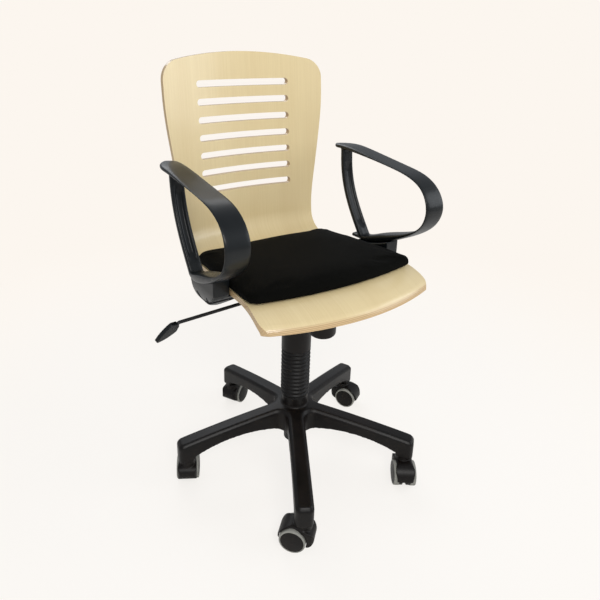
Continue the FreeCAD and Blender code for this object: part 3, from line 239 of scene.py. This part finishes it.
FINISH = {
    "beech_ply": beech(),
    "black_fabric": fabric(),
    "arm_plastic": moulded("arm_plastic_finish", (7, 11, 13), (13, 18, 21), 0.30, 0.44, 1300.0, 0.12, 0.20,
                          coat=0.12, shine=0.26),
    "base_nylon": moulded("base_nylon_finish", (9, 7, 6), (18, 13, 11), 0.30, 0.50, 1000.0, 0.18, 0.25,
                         shine=0.22),
    "sleeve_rubber": moulded("sleeve_rubber_finish", (8, 7, 7), (17, 15, 15), 0.36, 0.56, 900.0, 0.14, 0.20,
                            shine=0.24),
    "tread_grey": moulded("tread_grey_finish", (126, 126, 120), (152, 151, 144), 0.60, 0.82, 700.0,
                         0.30, 0.35),
    "black_steel": steel("black_steel_finish", (18, 18, 19), 0.0, 0.30, 0.48, (1.0, 1.0, 1.0), 0.30),
    "bright_steel": steel("bright_steel_finish", (172, 174, 177), 1.0, 0.18, 0.38),
    "bush_plastic": moulded("bush_plastic_finish", (206, 203, 194), (222, 219, 210), 0.35, 0.5),
    "board": moulded("board_finish", (148, 112, 72), (178, 140, 94), 0.70, 0.90, 500.0, 0.3, 0.1),
}
SLOT = {part["node"]: part["material_slot"] for part in frame["record"]["subparts"]}
for node, thing in frame["nodes"].items():
    if not thing.material_slots:
        thing.data.materials.append(FINISH[SLOT[node]])
    for slot in thing.material_slots:
        slot.link = "OBJECT"
        slot.material = FINISH[SLOT[node]]


# Mesh building

def piece(name, points, faces, finish, body=None):
    """A smooth piece from points and faces. One that is to be rebuilt gets its body afterwards."""
    mesh = bpy.data.meshes.new(name)
    mesh.from_pydata([tuple(float(c) for c in p) for p in points], [], [tuple(f) for f in faces])
    mesh.validate()
    build = bmesh.new()
    build.from_mesh(mesh)
    bmesh.ops.recalc_face_normals(build, faces=build.faces[:])
    build.to_mesh(mesh)
    build.free()
    thing = bpy.data.objects.new(name, mesh)
    scene.collection.objects.link(thing)
    mesh.materials.append(FINISH[finish])
    mesh.polygons.foreach_set("use_smooth", [True] * len(mesh.polygons))
    if body:
        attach(thing, body)
    return thing


def bake(thing):
    """Turn a piece's modifiers into its own mesh."""
    graph = bpy.context.evaluated_depsgraph_get()
    graph.update()
    mesh = bpy.data.meshes.new_from_object(thing.evaluated_get(graph))
    finish = thing.data.materials[0]
    thing.modifiers.clear()
    thing.data = mesh
    if not mesh.materials:
        mesh.materials.append(finish)
    mesh.polygons.foreach_set("use_smooth", [True] * len(mesh.polygons))


def remesh(thing, voxel, smoothing):
    """Rebuild a piece in one even skin and ease its edges."""
    rebuild = thing.modifiers.new("even", "REMESH")
    rebuild.mode = "VOXEL"
    rebuild.voxel_size = voxel
    rebuild.use_smooth_shade = True
    ease = thing.modifiers.new("ease", "SMOOTH")
    ease.factor = 0.5
    ease.iterations = smoothing
    bake(thing)


def rings(loops, closed_ends=True):
    """Faces that join equal loops of points one after another."""
    count = len(loops[0])
    points = [p for loop in loops for p in loop]
    faces = []
    for k in range(len(loops) - 1):
        for i in range(count):
            j = (i + 1) % count
            faces.append((k * count + i, k * count + j, (k + 1) * count + j, (k + 1) * count + i))
    if closed_ends:
        faces.append(tuple(range(count - 1, -1, -1)))
        faces.append(tuple((len(loops) - 1) * count + i for i in range(count)))
    return points, faces


def curve_through(points, count):
    """Even points on a smooth curve through the given ones."""
    p = np.array(points, float)
    t = np.r_[0, np.cumsum(np.linalg.norm(np.diff(p, axis=0), axis=1))]
    n = len(t)
    h = np.diff(t)
    a = np.zeros((n, n))
    b = np.zeros((n, p.shape[1]))
    a[0, 0] = a[-1, -1] = 1.0
    for i in range(1, n - 1):
        a[i, i - 1], a[i, i], a[i, i + 1] = h[i - 1], 2 * (h[i - 1] + h[i]), h[i]
        b[i] = 6 * ((p[i + 1] - p[i]) / h[i] - (p[i] - p[i - 1]) / h[i - 1])
    m = np.linalg.solve(a, b)

    def at(s):
        i = np.clip(np.searchsorted(t, s) - 1, 0, n - 2)
        u, v, w = (t[i + 1] - s)[:, None], (s - t[i])[:, None], h[i][:, None]
        return (m[i] * u ** 3 + m[i + 1] * v ** 3) / (6 * w) + (p[i] / w - m[i] * w / 6) * u \
            + (p[i + 1] / w - m[i + 1] * w / 6) * v

    fine = at(np.linspace(0, t[-1], 20 * count))
    s = np.r_[0, np.cumsum(np.linalg.norm(np.diff(fine, axis=0), axis=1))]
    even = np.linspace(0, s[-1], count)
    return np.stack([np.interp(even, s, fine[:, k]) for k in range(p.shape[1])], 1)


def arc_through(a, b, c, count):
    """Points on the circle from a through b to c."""
    (ax, ay), (bx, by), (cx, cy) = a, b, c
    d = 2 * (ax * (by - cy) + bx * (cy - ay) + cx * (ay - by))
    aa, bb, cc = (x * x + y * y for x, y in (a, b, c))
    ux = (aa * (by - cy) + bb * (cy - ay) + cc * (ay - by)) / d
    uy = (aa * (cx - bx) + bb * (ax - cx) + cc * (bx - ax)) / d
    start, mid, end = (math.atan2(q[1] - uy, q[0] - ux) for q in (a, b, c))
    turn = 2 * math.pi
    if (mid - start) % turn > (end - start) % turn:
        sweep = (end - start) % turn - turn
    else:
        sweep = (end - start) % turn
    radius = math.hypot(ax - ux, ay - uy)
    return [(ux + radius * math.cos(start + sweep * k / (count - 1)),
             uy + radius * math.sin(start + sweep * k / (count - 1))) for k in range(count)]


def straight(a, b, count):
    """Even points from a to just before b."""
    return [(a[0] + (b[0] - a[0]) * k / count, a[1] + (b[1] - a[1]) * k / count) for k in range(count)]


# Seat pad

SEAT_ZERO = 0.5515 - 0.140 * RAKE       # height of the raked seat over the column
PAD_HALF_FRONT, PAD_HALF_REAR = 217.0, 196.0
PAD_FRONT, PAD_REAR, PAD_BOW, PAD_CORNER = -158.0, 163.0, 21.0, 30.0
PAD_EDGE, PAD_CROWN = 20.0, 8.0
COVER_INSET = 1.5       # room that the cover leaves inside the pad's outline, to swell into
COVER_CLEAR = 0.4
CLOTH_CAP = 0.0035      # the most that the cloth may move, in metres
CLOTH_FRAMES = 20


def pad_loop(inset):
    """Plan of the pad, drawn in from its outline, as evenly numbered points in mm."""
    front, rear = PAD_FRONT + inset, PAD_REAR - inset
    hf, hr = PAD_HALF_FRONT - inset, PAD_HALF_REAR - inset
    c = max(PAD_CORNER - 0.3 * inset, 8.0)
    cut = c * CORNER_CUT
    loop = arc_through((hf - c, front), (hf - cut, front + cut), (hf, front + c), 9)[:-1]
    loop += straight((hf, front + c), (hr, rear - c), 24)
    loop += arc_through((hr, rear - c), (hr - cut, rear - cut), (hr - c, rear), 9)[:-1]
    loop += straight((hr - c, rear), (c - hr, rear), 32)
    loop += arc_through((c - hr, rear), (cut - hr, rear - cut), (-hr, rear - c), 9)[:-1]
    loop += straight((-hr, rear - c), (-hf, front + c), 24)
    loop += arc_through((-hf, front + c), (cut - hf, front + cut), (c - hf, front), 9)[:-1]
    loop += arc_through((c - hf, front), (0, front - PAD_BOW), (hf - c, front), 41)[:-1]
    return loop


def pad_height(x, y):
    """How far the crowned top stands over the seat, in mm."""
    across = max(0.0, 1 - (x / PAD_HALF_FRONT) ** 2)
    middle = (PAD_FRONT - PAD_BOW / 2 + PAD_REAR) / 2
    along = max(0.0, 1 - ((y - middle) / (0.5 * (PAD_REAR - PAD_FRONT + PAD_BOW))) ** 2)
    return PAD_EDGE + PAD_CROWN * min(1.0, 1.35 * (across * along) ** 0.62)


def on_seat(x, y, height):
    return (x * MM, y * MM, SEAT_ZERO - y * MM * RAKE + height * MM)


def swell(pad):
    """Blow the cover up a little as cloth that is held along its underside."""
    rest = np.array([v.co for v in pad.data.vertices])
    base = SEAT_ZERO - rest[:, 1] * RAKE
    pinned = pad.vertex_groups.new(name="held")
    pinned.add([int(i) for i in np.where(rest[:, 2] - base < 0.0035)[0]], 1.0, "REPLACE")
    cloth = pad.modifiers.new("swell", "CLOTH")
    cloth.settings.use_pressure = True
    cloth.settings.uniform_pressure_force = 4.0
    cloth.settings.effector_weights.gravity = 0.0
    cloth.settings.vertex_group_mass = "held"
    cloth.settings.quality = 5
    cloth.point_cache.frame_start, cloth.point_cache.frame_end = 1, CLOTH_FRAMES
    for step in range(1, CLOTH_FRAMES + 1):
        scene.frame_set(step)
    swollen = pad.evaluated_get(bpy.context.evaluated_depsgraph_get()).to_mesh()
    moved = np.array([v.co for v in swollen.vertices]) - rest
    pad.modifiers.clear()
    pad.vertex_groups.clear()
    far = np.linalg.norm(moved, axis=1)
    moved *= (CLOTH_CAP * np.tanh(far / CLOTH_CAP) / np.maximum(far, 1e-9))[:, None]
    pad.data.vertices.foreach_set("co", (rest + moved).ravel())
    scene.frame_set(1)


def make_pad():
    side = [(110, 0.4), (60, 0.4), (20, 0.4), (8, 0.4), (4.2, 0.9), (1.6, 3.0), (0.4, 6.5), (0.0, 10.0),
            (0.7, 13.6), (2.6, 16.9), (5.8, 19.0)]
    loops = []
    for inset, height in side:
        loops.append([on_seat(x, y, height) for x, y in pad_loop(inset + COVER_INSET)])
    for inset in (10.5, 18, 30, 46, 66, 90, 112, 135):
        plan = pad_loop(inset + COVER_INSET)
        loops.append([on_seat(x, y, pad_height(x, y) - COVER_CLEAR) for x, y in plan])
    points, faces = rings(loops)
    pad = piece("seat_pad_cover", points, faces, "black_fabric")
    remesh(pad, 0.005, 2)
    swell(pad)
    finer = pad.modifiers.new("finer", "SUBSURF")
    finer.levels = finer.render_levels = 1
    bake(pad)
    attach(pad, "seat")
    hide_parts("seat_pad")


make_pad()


# Ribbed sleeve over the column

SLEEVE_LOW, SLEEVE_HIGH = 0.1963, 0.3247
SLEEVE_CREST, SLEEVE_VALLEY, SLEEVE_RIBS = 0.0360, 0.0326, 12
SLEEVE_WALL = 0.0018


def make_sleeve():
    count, samples = 72, 10
    line = []
    for k in range(SLEEVE_RIBS * samples + 1):
        share = k / samples
        swell = (0.5 - 0.5 * math.cos(2 * math.pi * share)) ** 0.7
        line.append((SLEEVE_VALLEY + (SLEEVE_CREST - SLEEVE_VALLEY) * swell,
                     SLEEVE_LOW + (SLEEVE_HIGH - SLEEVE_LOW) * k / (SLEEVE_RIBS * samples)))
    inside = [(r - SLEEVE_WALL, z) for r, z in reversed(line)]
    loops = [[(r * math.cos(2 * math.pi * i / count), r * math.sin(2 * math.pi * i / count), z)
              for i in range(count)] for r, z in line + inside]
    points, faces = rings(loops, closed_ends=False)
    last = len(loops) - 1
    for i in range(count):
        j = (i + 1) % count
        faces.append((last * count + i, last * count + j, j, i))
    sleeve = piece("column_sleeve_ribbed", points, faces, "sleeve_rubber", "gas_rod_set")
    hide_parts("column_bellows")
    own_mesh(sleeve)


make_sleeve()


# Tilt spring between the knob and the pan

SPRING_RADIUS, SPRING_WIRE, SPRING_TURNS = 0.0180, 0.0025, 5
SPRING_LOW, SPRING_HIGH, SPRING_Y = 0.4143, 0.4617, -0.100


def make_spring():
    """The coil stands on the knob and leans with the bolt, and is pressed against the pan."""
    low, high = SPRING_LOW + SPRING_WIRE, SPRING_HIGH - SPRING_WIRE
    pitch = math.atan2((high - low) / SPRING_TURNS, 2 * math.pi * SPRING_RADIUS)
    steps, sides = 24 * SPRING_TURNS, 12
    loops = []
    for k in range(steps + 1):
        turn = 2 * math.pi * SPRING_TURNS * k / steps
        rise = low + (high - low) * k / steps
        out = Vector((math.cos(turn), math.sin(turn), 0))
        up = Vector((math.sin(turn) * math.sin(pitch), -math.cos(turn) * math.sin(pitch), math.cos(pitch)))
        centre = Vector((0, SPRING_Y, rise)) + out * SPRING_RADIUS
        loop = []
        for i in range(sides):
            angle = 2 * math.pi * i / sides
            loop.append(tuple(centre + SPRING_WIRE * (math.cos(angle) * out + math.sin(angle) * up)))
        loops.append(loop)
    points, faces = rings(loops)
    coil = piece("tilt_spring_coil", points, faces, "bright_steel", "seat")
    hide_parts("tension_spring")
    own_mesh(coil)


make_spring()


# Armrests

RIBBON_LOW, RIBBON_HIGH = 222.0, 276.0      # sides of the left ribbon, in mm
NOSE_TIP = (243.6, 188.0)
NOSE_BOW_Y, NOSE_HOLLOW_Y = 113.0, 150.0    # where the nose starts to draw in on either side
NOSE_WIDTH = 1.2
FOOT_TAPER_Y = -121.0
CROSS_SECTION = 3.4                         # power of the rounded section, 2 for an ellipse
FOOT = [(-126.0, 612.0), (-85.0, 588.0), (-38.0, 567.0), (8.0, 554.0), (46.0, 549.5), (78.0, 549.0)]
OUTER = [(188.0, 776.0), (163.0, 779.0), (60.0, 772.0), (-51.0, 756.0), (-110.0, 744.0), (-148.0, 721.0),
         (-169.0, 680.0), (-155.0, 640.0)] + FOOT
INNER = [(188.0, 768.0), (160.0, 768.0), (60.0, 763.5), (-47.0, 753.0), (-107.0, 741.0), (-141.0, 723.0),
         (-161.0, 677.0), (-147.0, 637.0), (-122.0, 619.0), (-81.0, 602.0), (-5.0, 577.0), (40.0, 561.0),
         (78.0, 559.5)]
STRUT = [(44.0, 553.0), (78.0, 600.0), (113.0, 660.0), (132.0, 720.0), (137.0, 772.0)]


def make_ribbon():
    """The ribbon as a run of crowned cross-sections, drawn in at its nose and its foot."""
    stations = 230
    outer = curve_through(OUTER, stations)
    inner_all = curve_through(INNER, 1600)
    upper_high = np.array(arc_through((RIBBON_HIGH, NOSE_BOW_Y), (RIBBON_HIGH - 12.0, 162.0), NOSE_TIP, 60))
    upper_low = np.array(arc_through((RIBBON_LOW - 3.0, 152.0), (RIBBON_LOW + 9.0, 177.0), NOSE_TIP, 60))
    lower = curve_through([(RIBBON_HIGH, FOOT_TAPER_Y), (RIBBON_HIGH - 8.0, -20.0), (RIBBON_HIGH - 24.0, 55.0),
                           (RIBBON_HIGH - 32.0, 80.0)], 60)
    loops, near, ahead = [], 0, 60
    for y, z in outer:
        window = inner_all[near:near + ahead]
        near += int(np.argmin(np.hypot(window[:, 0] - y, window[:, 1] - z)))
        inner = inner_all[near]
        low, high = RIBBON_LOW, RIBBON_HIGH
        if z > 700.0 and y > NOSE_BOW_Y:
            high = min(high, float(np.interp(y, upper_high[:, 1], upper_high[:, 0])))
            if y > NOSE_HOLLOW_Y:
                low = max(low, float(np.interp(y, upper_low[:, 1], upper_low[:, 0])))
            if high - low < NOSE_WIDTH:
                low, high = (low + high - NOSE_WIDTH) / 2, (low + high + NOSE_WIDTH) / 2
        if z < 640.0 and y > FOOT_TAPER_Y:
            high = float(np.interp(y, lower[:, 1], lower[:, 0]))
        mid_x, half_x = (low + high) / 2, (high - low) / 2
        mid = (np.array([y, z]) + inner) / 2
        half = (np.array([y, z]) - inner) / 2
        loop = []
        for i in range(36):
            angle = 2 * math.pi * i / 36
            c, s = math.cos(angle), math.sin(angle)
            a = math.copysign(abs(c) ** (2 / CROSS_SECTION), c)
            b = math.copysign(abs(s) ** (2 / CROSS_SECTION), s)
            place = mid + half * b
            loop.append(((mid_x + half_x * a) * MM, place[0] * MM, place[1] * MM))
        loops.append(loop)
    return rings(loops)


def make_strut():
    """The upright: a flat bar with rounded rails either side of a groove in its front."""
    line = curve_through(STRUT, 70)
    width, half, rail, deep = 32.0, 6.5, 8.0, 6.0
    loops = []
    for k, (y, z) in enumerate(line):
        share = k / (len(line) - 1)
        depth = deep * float(np.clip((share - 0.10) / 0.10, 0, 1) * np.clip((0.86 - share) / 0.10, 0, 1))
        before, after = line[max(k - 1, 0)], line[min(k + 1, len(line) - 1)]
        along = (after - before) / np.linalg.norm(after - before)
        ahead = np.array([-along[1], along[0]])
        flat = [(0, -half + 3), (1, -half + 1), (3, -half), (10, -half - 0.6), (22, -half - 0.6),
                (width - 3, -half), (width - 1, -half + 1), (width, -half + 3), (width, half - 3),
                (width - 1.2, half - 1), (width - 3, half), (width - rail + 1.5, half - 0.3),
                (width - rail, half - 1.4), (width - rail - 1.0, half - depth + 0.8),
                (width - rail - 2.2, half - depth),
                (rail + 2.2, half - depth), (rail + 1.0, half - depth + 0.8), (rail, half - 1.4),
                (rail - 1.5, half - 0.3), (3, half), (1.2, half - 1), (0, half - 3)]
        loops.append([((RIBBON_LOW + x) * MM, (y + ahead[0] * n) * MM, (z + ahead[1] * n) * MM)
                      for x, n in flat])
    return rings(loops)


def make_arms():
    ribbon_points, ribbon_faces = make_ribbon()
    strut_points, strut_faces = make_strut()
    shift = len(ribbon_points)
    points = ribbon_points + strut_points
    faces = [tuple(f) for f in ribbon_faces] + [tuple(i + shift for i in f) for f in strut_faces]
    left = piece("armrest_left_skin", points, faces, "arm_plastic")
    remesh(left, 0.0018, 8)
    mirror = left.data.copy()
    mirror.transform(Matrix.Scale(-1, 4, Vector((1, 0, 0))))
    mirror.flip_normals()
    right = bpy.data.objects.new("armrest_right_skin", mirror)
    scene.collection.objects.link(right)
    for thing, node in ((left, "arm_loop_left"), (right, "arm_loop_right")):
        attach(thing, "seat")
        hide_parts(node)


make_arms()


# Moulded parts whose edges the mould rounds

def eased(node, name, body, voxel, smoothing):
    """A copy of a CAD part with its edges rounded as a mould leaves them."""
    source = frame["nodes"][node]
    mesh = source.data.copy()
    mesh.transform(source.matrix_world)
    mesh.materials.clear()
    mesh.materials.append(FINISH[SLOT[node]])
    thing = bpy.data.objects.new(name, mesh)
    scene.collection.objects.link(thing)
    remesh(thing, voxel, smoothing)
    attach(thing, body)
    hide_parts(node)


eased("star_base", "star_base_moulded", "base", 0.0022, 4)
eased("arm_bracket_left", "arm_bracket_left_moulded", "seat", 0.0016, 4)
eased("arm_bracket_right", "arm_bracket_right_moulded", "seat", 0.0016, 4)
eased("lever_handle", "lever_handle_moulded", "lever", 0.0010, 4)
for number in range(1, 6):
    caster = "caster_%d" % number
    eased(caster + "_fork", caster + "_hood_moulded", caster, 0.0011, 7)


# Floor, background, lamps and camera

FLOOR_RADIUS, FLOOR_SIDES = 30.0, 96


def floor_finish():
    """A pale floor that glows in its own colour to the camera, whiter in the middle as a painted pool of
    light, and keeps a faint shadow.
    """
    s = Shader("floor_finish")
    s.tree.nodes.remove(s.bsdf)
    out = s.tree.nodes["Material Output"]
    x, y, _ = s.split(s.place)[:3]
    away = s.math("SQRT", s.math("ADD", s.math("MULTIPLY", x, x), s.math("MULTIPLY", y, y)))
    # Painted pool of light: near white within 0.3 m of the middle, fading to cream by 1.9 m.
    colour = s.mix(s.step(away, 0.3, 1.9), linear(255, 252, 248), linear(252, 246, 239))
    paint = s.add("ShaderNodeBsdfDiffuse")
    s.feed(paint.inputs["Color"], s.mix(0.5, colour, linear(236, 232, 226)))
    glow = s.add("ShaderNodeEmission")
    s.feed(glow.inputs["Color"], colour)
    seen = s.add("ShaderNodeMixShader")
    light = s.add("ShaderNodeLightPath")
    own = s.math("ADD", 0.78, s.math("MULTIPLY", s.step(away, 0.5, 1.6), 0.22))
    s.feed(seen.inputs[0], s.math("MULTIPLY", light.outputs["Is Camera Ray"], own))
    s.feed(seen.inputs[1], paint.outputs[0])
    s.feed(seen.inputs[2], glow.outputs[0])
    s.feed(out.inputs["Surface"], seen.outputs[0])
    return s.material


floor_mesh = bpy.data.meshes.new("floor")
turns = [2 * math.pi * i / FLOOR_SIDES for i in range(FLOOR_SIDES)]
rim = [(FLOOR_RADIUS * math.cos(turn), FLOOR_RADIUS * math.sin(turn), 0.0) for turn in turns]
floor_mesh.from_pydata(rim, [], [tuple(range(FLOOR_SIDES))])
floor = bpy.data.objects.new("floor", floor_mesh)
scene.collection.objects.link(floor)
floor_mesh.materials.append(floor_finish())

world = scene.world or bpy.data.worlds.new("studio")
scene.world = world
world.use_nodes = True
tree = world.node_tree
tree.nodes.clear()


def background(colour, strength):
    node = tree.nodes.new("ShaderNodeBackground")
    node.inputs["Color"].default_value = colour
    node.inputs["Strength"].default_value = strength
    return node.outputs[0]


out = tree.nodes.new("ShaderNodeOutputWorld")
seen = tree.nodes.new("ShaderNodeMixShader")
path = tree.nodes.new("ShaderNodeLightPath")
tree.links.new(path.outputs["Is Camera Ray"], seen.inputs[0])
tree.links.new(background(linear(240, 244, 250), 0.55), seen.inputs[1])
tree.links.new(background(linear(252, 246, 239), 1.0), seen.inputs[2])
tree.links.new(seen.outputs[0], out.inputs["Surface"])


def lamp(name, place, aim, size, power, colour):
    data = bpy.data.lights.new(name, "AREA")
    data.shape = "RECTANGLE"
    data.size, data.size_y = size
    data.energy = power
    data.color = colour
    thing = bpy.data.objects.new(name, data)
    scene.collection.objects.link(thing)
    thing.location = place
    thing.rotation_euler = (Vector(aim) - Vector(place)).to_track_quat("-Z", "Y").to_euler()


lamp("key", (-1.1, -2.6, 2.6), (0, 0, 0.6), (1.6, 1.2), 62.0, (1.0, 0.985, 0.96))
lamp("fill", (2.4, -1.6, 1.7), (0, 0, 0.6), (1.8, 1.8), 26.0, (0.92, 0.96, 1.0))
lamp("back", (0.6, 2.4, 2.4), (0, 0, 0.7), (2.0, 1.2), 22.0, (0.95, 0.97, 1.0))

# The camera was fitted to the photograph's outlines
CAMERA_PLACE = (-0.68776, -0.97613, 1.03629)
CAMERA_AHEAD = Vector((0.501, 0.800, -0.3297))
CAMERA_ACROSS = Vector((0.8498, -0.527, 0.0127))

data = bpy.data.cameras.new("camera")
camera = bpy.data.objects.new("camera", data)
scene.collection.objects.link(camera)
ahead = CAMERA_AHEAD.normalized()
across = (CAMERA_ACROSS - CAMERA_ACROSS.dot(ahead) * ahead).normalized()
upward = across.cross(ahead)
turned = Matrix((across, upward, -ahead)).transposed().to_4x4()
camera.matrix_world = Matrix.Translation(CAMERA_PLACE) @ turned
data.sensor_width = 36.0
data.lens = 33.245
data.shift_x, data.shift_y = 0.0479, -0.1128
data.clip_start, data.clip_end = 0.05, 100.0
scene.camera = camera
scene.view_settings.view_transform = "Standard"
